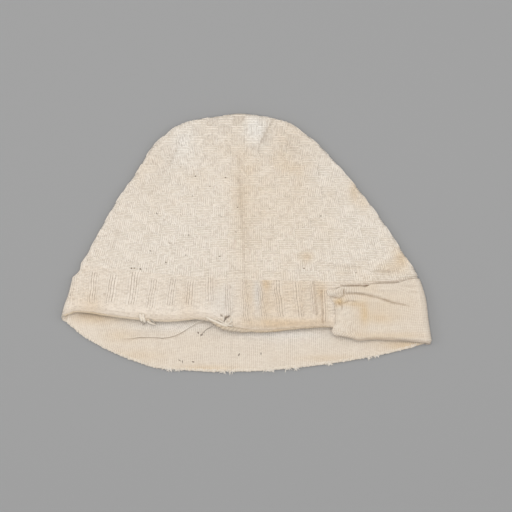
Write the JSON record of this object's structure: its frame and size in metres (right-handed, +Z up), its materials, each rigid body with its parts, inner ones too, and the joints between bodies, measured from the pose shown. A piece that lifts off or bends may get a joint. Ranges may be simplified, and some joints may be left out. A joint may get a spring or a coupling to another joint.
{
  "type": "knitted cotton cap",
  "caption": "Soft knitted cotton cap lying flat, with a basket-knit crown, a ribbed band, a plain inside facing, a rolled hem and a turned-up corner.",
  "frame": {"origin": "on the flat underside of the cap, in the surface that it lies on, near the middle of its outline", "axes": "+X to the turned-up corner along the rim, +Y to the top of the crown, +Z up out of the surface that it lies on; the head opening looks towards -Y"},
  "size_m": [0.2764, 0.1932, 0.0241],
  "materials": {
    "basket_knit": "matt hand-knitted cotton in small raised and sunk blocks",
    "rib_knit": "matt ribbed cotton, lightly browned",
    "plain_knit": "matt fine plain-knitted cotton, lightly browned"
  },
  "bodies": {
    "root": {"crown": "basket_knit", "rib_band": "rib_knit", "hem_roll": "rib_knit", "facing": "plain_knit", "turned_cuff": "plain_knit"}
  },
  "joints": []
}
